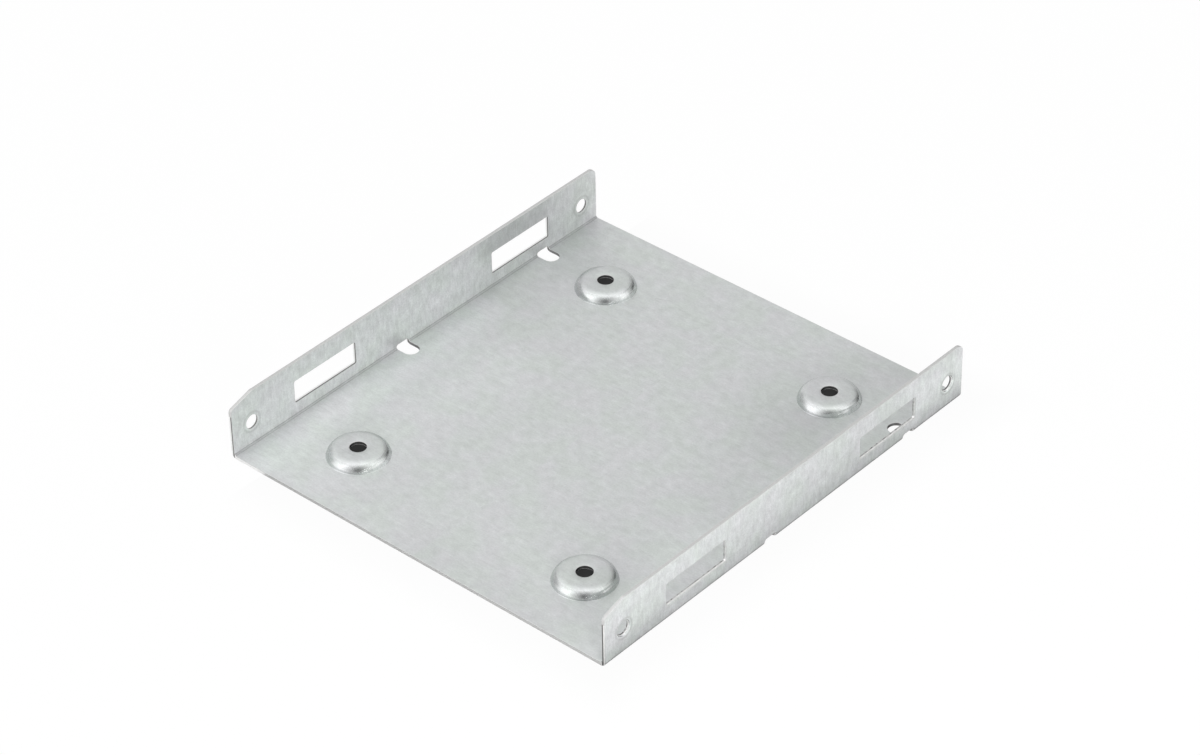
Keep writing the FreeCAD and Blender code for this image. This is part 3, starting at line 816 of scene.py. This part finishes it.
def roundSideHoleRims(piece):
    edit(piece)

    def onRim(at):
        rows = (sideHole["rear"], sideHole["rear"] - sideHole["spacing"])
        away = min(math.hypot(at.y - row, at.z - sideHole["height"]) for row in rows)
        return near(at.x, channel["halfWidth"]) and near(away, sideHole["radius"])

    pick("EDGE", edgeTest(onRim))
    bpy.ops.mesh.bevel(offset=sideHole["rimRound"] * mm, segments=sideHole["rimSteps"],
                       profile=0.5, affect="EDGES", clamp_overlap=False)
    backToObjects()


def mirrorToLeft(piece):
    edit(piece)
    pick("FACE", lambda face: near(face.calc_center_median().x / mm, 0, closely)
         and abs(face.normal.x) > mainly)
    bpy.ops.mesh.delete(type="FACE")
    finishWith(piece, "MIRROR", use_axis=(True, False, False), use_mirror_merge=True,
               merge_threshold=touching)
    edit(piece)
    pick("EDGE", edgeTest(lambda at: near(at.x, 0, closely)))
    bpy.ops.mesh.dissolve_edges(use_verts=False)
    backToObjects()


def makeBracket():
    piece = setInBosses(foldHalfChannel())
    print("half skin folded and pressed,", len(piece.data.polygons), "faces")
    finishWith(piece, "SOLIDIFY", thickness=channel["thickness"] * mm, offset=-1,
               use_even_offset=True, use_quality_normals=True,
               material_offset_rim=shearedSlot)
    cutOpenings(piece)
    roundSideHoleRims(piece)
    mirrorToLeft(piece)
    finishWith(piece, "BEVEL", width=channel["edgeBreak"] * mm, segments=channel["edgeSteps"],
               limit_method="ANGLE", angle_limit=math.radians(channel["edgeAngle"]),
               material=rubbedSlot, use_clamp_overlap=False)
    choose(piece)
    bpy.ops.object.shade_smooth_by_angle(angle=math.radians(channel["smoothAngle"]))
    finishWith(piece, "WEIGHTED_NORMAL", keep_sharp=True, weight=50)
    print("bracket finished,", len(piece.data.polygons), "faces")
    return piece


bracket = makeBracket()
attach(bracket, "root")
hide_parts("adapter_bracket")


# the studio: pale floor, one broad light overhead, and a soft room round it

studio = {
    "floorSize": 6000.0, "floorGap": 0.1, "floorTone": 0.88, "floorGlow": 0.97,
    "floorGlowInMetal": 0.95,
    "contactRight": (50.5, 66.0), "contactEnds": (56.0, 70.0), "contactTone": 0.28,
    "shadeHalfWidth": 42.0, "shadeHalfLength": 52.0, "shadeTone": 0.05,  # under the base
    "openHalfWidth": 50.0, "openHalfLength": 55.5,
    "shadeGlow": 0.018, "roomDiffuse": 0.52, "roomInMetal": 0.525,
}
lamps = {  # place in metres, size across in metres, power in watts
    "overheadLight": ((0, 0, 1.5), 1.3, 5.0),
    "frontLight": ((-0.35, -0.55, 0.60), 0.9, 2.0),
    "fillLight": ((0.37, -0.26, 0.13), 0.2, 1.95),
}
roomPatches = (  # what metal sees in the room: direction, cosines of its start and core, change
    ("darkDoorway", (0.47, 0.78, -0.43), 0.472, 1.0, -0.95),
    ("cameraStand", (0.64, -0.65, 0.40), 0.515, 0.863, -0.77),
    ("frontScreen", (-0.194, -0.979, 0.060), 0.513, 1.0, 1.07),
    ("paleWall", (0.993, 0.116, 0.031), 0.352, 0.884, 0.93),
    ("ceilingLight", (-0.106, -0.130, 0.986), 0.379, 0.959, 0.915),
    ("farWindow", (-0.769, 0.630, 0.105), 0.788, 1.0, 0.45),
)
view = {  # the photograph's camera, as its perspective gives it; turn is in degrees
    "place": (444.80, -493.53, 511.22), "turn": (53.1164, 0.9193, 41.3053),
    "lens": 121.96, "sensor": 36.0, "nearest": 10.0,
}


def mixShaders(tree, place, factor, first, second):
    node = addNode(tree, "ShaderNodeMixShader", place)
    for socket, value in zip(node.inputs, (factor, first.outputs[0], second.outputs[0])):
        tree.links.new(value, socket)
    return node


def makeFloor():
    # white to the camera all round the object, and painted dark as shade in the hollows beneath it
    bpy.ops.mesh.primitive_plane_add(size=studio["floorSize"] * mm,
                                     location=(0, 0, -studio["floorGap"] * mm))
    piece = newestPiece("studioFloor")
    material = bpy.data.materials.new("paleFloor")
    material.use_nodes = True
    tree = material.node_tree
    tree.nodes.clear()
    parts = partsOf(tree, "Object", (-1400, 500))
    across = mathNode(tree, "ABSOLUTE", (-1200, 600), parts["X"])
    along = mathNode(tree, "ABSOLUTE", (-1200, 400), parts["Y"])

    def both(operation, join, top, prefix):
        # the test on both sides of the rectangle whose half sizes start with prefix
        tests = [mathNode(tree, operation, (-1000, top - 150 * row), off, studio[label] * mm)
                 for row, (off, label) in enumerate(
                     ((across, prefix + "HalfWidth"), (along, prefix + "HalfLength")))]
        return mathNode(tree, join, (-800, top), *tests)

    def contact(top, source, label):
        start, end = studio[label]
        return rangeNode(tree, (-1000, top), source, start * mm, end * mm, 0.0, 1.0)

    outside = both("GREATER_THAN", "MAXIMUM", 600, "shade")
    under = both("LESS_THAN", "MULTIPLY", 900, "open")
    # dark under the base, dim close by on the right where it stands in its own shade, else pale
    left = mathNode(tree, "LESS_THAN", (-1000, 250), parts["X"], -studio["shadeHalfWidth"] * mm)
    away = mathNode(tree, "MAXIMUM", (-800, 250), left, contact(100, parts["X"], "contactRight"))
    away = mathNode(tree, "MAXIMUM", (-700, 150), away, contact(-150, along, "contactEnds"))
    beside = mathNode(tree, "MULTIPLY", (-600, 300), away,
                      studio["floorTone"] - studio["contactTone"])
    beside = mathNode(tree, "ADD", (-450, 300), beside, studio["contactTone"])
    tone = addNode(tree, "ShaderNodeMix", (-300, 500))
    for label, value in (("Factor", outside), ("A", studio["shadeTone"]), ("B", beside)):
        feed(tree, tone.inputs[label], value)
    matt = addNode(tree, "ShaderNodeBsdfDiffuse", (0, 0))
    tree.links.new(tone.outputs[0], matt.inputs["Color"])
    glow = addNode(tree, "ShaderNodeEmission", (0, -150))
    path = addNode(tree, "ShaderNodeLightPath", (-800, 0))
    straight = mathNode(tree, "MAXIMUM", (-600, 50), path.outputs["Is Camera Ray"],
                        path.outputs["Is Transmission Ray"])
    # the room's light comes up through the floor under the base, which is seen from below too
    opening = mathNode(tree, "SUBTRACT", (-600, 900), under, straight)
    direct = mathNode(tree, "MULTIPLY", (-450, 50), straight, studio["floorGlow"])
    mirrored = mathNode(tree, "MULTIPLY", (-600, -100), path.outputs["Is Glossy Ray"],
                        studio["floorGlowInMetal"])
    mirrored = mathNode(tree, "MULTIPLY", (-450, -100), mirrored, away)
    seen = mathNode(tree, "ADD", (-300, 50), direct, mirrored)
    lit = mathNode(tree, "MAXIMUM", (-300, 250), outside, studio["shadeGlow"])
    share = mathNode(tree, "MULTIPLY", (-100, 250), seen, lit)
    back = addNode(tree, "ShaderNodeNewGeometry", (250, 300))
    through = addNode(tree, "ShaderNodeBsdfTransparent", (250, -200))
    unseen = mathNode(tree, "MAXIMUM", (400, 450), back.outputs["Backfacing"], opening)
    top = mixShaders(tree, (250, 0), share, matt, glow)
    sides = mixShaders(tree, (450, 0), unseen, top, through)
    end = addNode(tree, "ShaderNodeOutputMaterial", (650, 0))
    tree.links.new(sides.outputs[0], end.inputs["Surface"])
    piece.data.materials.append(material)


def makeLamp(name, place, size, power):
    backToObjects()
    bpy.ops.object.light_add(type="AREA", location=place)
    lamp = bpy.context.active_object
    lamp.name = name
    lamp.data.shape = "DISK"
    lamp.data.size = size
    lamp.data.energy = power
    lamp.visible_glossy = False  # the room has its own bright places for metal
    lamp.visible_camera = False
    lamp.rotation_mode = "QUATERNION"
    lamp.rotation_quaternion = Vector(place).to_track_quat("Z", "Y")
    return lamp


def makeRoom():
    # white to the camera, plain to matt surfaces, and to metal a room with dark and bright places
    world = bpy.data.worlds.new("softRoom")
    bpy.context.scene.world = world
    world.use_nodes = True
    tree = world.node_tree
    tree.nodes.clear()
    coords = addNode(tree, "ShaderNodeTexCoord", (-1000, 0))
    tone = studio["roomInMetal"]
    for row, (label, direction, start, full, change) in enumerate(roomPatches):
        top = -250 * row
        facing = vectorNode(tree, "DOT_PRODUCT", (-800, top), coords.outputs["Generated"])
        facing.node.label = label
        facing.node.inputs[1].default_value = Vector(direction).normalized()
        patch = rangeNode(tree, (-600, top), facing, start, full, 0.0, change)
        tone = mathNode(tree, "ADD", (-450 + 100 * row, top), patch, tone)
    tone = mathNode(tree, "MAXIMUM", (150, -400), tone, 0.0)

    def background(top, strength):
        node = addNode(tree, "ShaderNodeBackground", (200, top))
        node.inputs["Color"].default_value = (1, 1, 1, 1)
        node.inputs["Strength"].default_value = strength
        return node

    inMetal = background(-200, 1.0)
    tree.links.new(tone, inMetal.inputs["Color"])
    path = addNode(tree, "ShaderNodeLightPath", (0, 400))
    onSurfaces = mixShaders(tree, (400, -100), path.outputs["Is Glossy Ray"],
                            background(-50, studio["roomDiffuse"]), inMetal)
    straight = mathNode(tree, "MAXIMUM", (200, 400), path.outputs["Is Camera Ray"],
                        path.outputs["Is Transmission Ray"])
    seen = mixShaders(tree, (600, 0), straight, onSurfaces, background(100, 1.0))
    end = addNode(tree, "ShaderNodeOutputWorld", (800, 0))
    tree.links.new(seen.outputs[0], end.inputs["Surface"])


def makeCamera():
    backToObjects()
    place = [mm * part for part in view["place"]]
    turn = [math.radians(part) for part in view["turn"]]
    bpy.ops.object.camera_add(location=place, rotation=turn)
    camera = bpy.context.active_object
    camera.name = "photoCamera"
    camera.data.lens = view["lens"]
    camera.data.sensor_width = view["sensor"]
    camera.data.clip_start = view["nearest"] * mm
    bpy.context.scene.camera = camera


makeFloor()
for lampName, settings in lamps.items():
    makeLamp(lampName, *settings)
makeRoom()
makeCamera()
bpy.context.scene.view_settings.view_transform = "Standard"
print("studio set")
